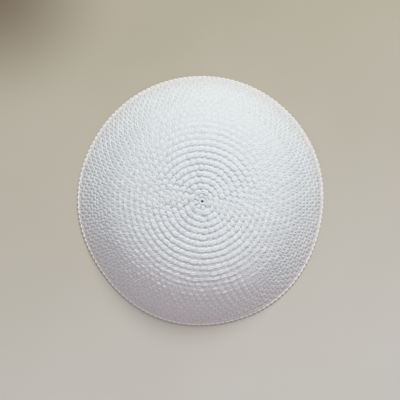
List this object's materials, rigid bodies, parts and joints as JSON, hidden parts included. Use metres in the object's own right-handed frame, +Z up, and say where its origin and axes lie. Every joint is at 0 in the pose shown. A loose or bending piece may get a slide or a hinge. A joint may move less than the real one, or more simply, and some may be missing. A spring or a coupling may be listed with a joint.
{
  "type": "crocheted kippah skullcap",
  "caption": "Round white crocheted skullcap: a shallow cotton dome worked in a spiral from a small start ring, with a narrow edging that it rests on.",
  "frame": {"origin": "centre of the cap's bounding box, in the surface that the rim lies on", "axes": "+Z up out of the crown; +Y towards the top edge of the picture, +X to its right"},
  "size_m": [0.169, 0.171, 0.044],
  "materials": {
    "start_ring_cotton": "matte mercerised cotton yarn, a closed loop",
    "crown_cotton": "matte white cotton yarn in single crochet, worked in a spiral",
    "edging_cotton": "matte white cotton yarn in a flat chain braid"
  },
  "bodies": {
    "root": {"start_ring": "start_ring_cotton", "crown": "crown_cotton", "edging": "edging_cotton"}
  },
  "joints": []
}
